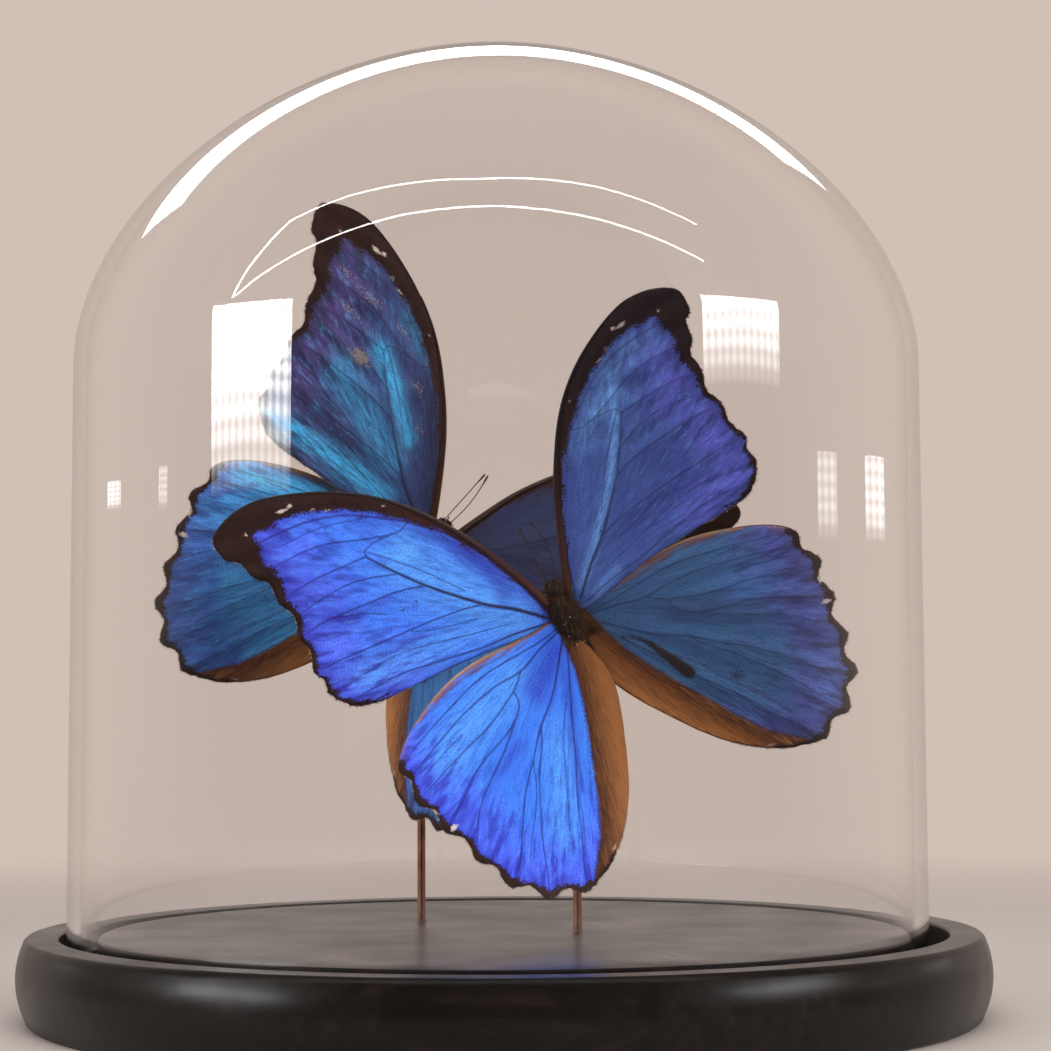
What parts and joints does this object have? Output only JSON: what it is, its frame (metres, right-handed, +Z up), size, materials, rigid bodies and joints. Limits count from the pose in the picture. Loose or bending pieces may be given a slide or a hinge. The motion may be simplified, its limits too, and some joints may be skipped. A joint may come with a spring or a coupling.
{
  "type": "butterflies under glass dome",
  "caption": "Dried blue butterflies with raised wings, each on a thin rod, under a clear glass dome standing in a grooved round black wooden base.",
  "frame": {"origin": "centre of the underside of the wooden base", "axes": "+Z up along the axis of the base; -Y towards the side the butterflies' upper wings face"},
  "size_m": [0.2254, 0.2254, 0.2287],
  "materials": {
    "stained_wood": "black stain under satin lacquer",
    "clear_glass": "clear blown glass, polished",
    "copper_rod": "drawn copper-coloured wire, satin",
    "wing_scales": "dry wing membrane with glossy blue scales above, brown below",
    "insect_body": "dark dried skin with fine hair"
  },
  "bodies": {
    "root": {"base": "stained_wood", "glass_dome": "clear_glass", "rod_front": "copper_rod", "rod_rear": "copper_rod", "butterfly_front_body": "insect_body", "butterfly_front_forewing_left": "wing_scales", "butterfly_front_forewing_right": "wing_scales", "butterfly_front_hindwing_left": "wing_scales", "butterfly_front_hindwing_right": "wing_scales", "butterfly_front_antenna_left": "insect_body", "butterfly_front_antenna_right": "insect_body", "butterfly_rear_body": "insect_body", "butterfly_rear_forewing_left": "wing_scales", "butterfly_rear_forewing_right": "wing_scales", "butterfly_rear_hindwing_left": "wing_scales", "butterfly_rear_hindwing_right": "wing_scales", "butterfly_rear_antenna_left": "insect_body", "butterfly_rear_antenna_right": "insect_body"}
  },
  "joints": []
}
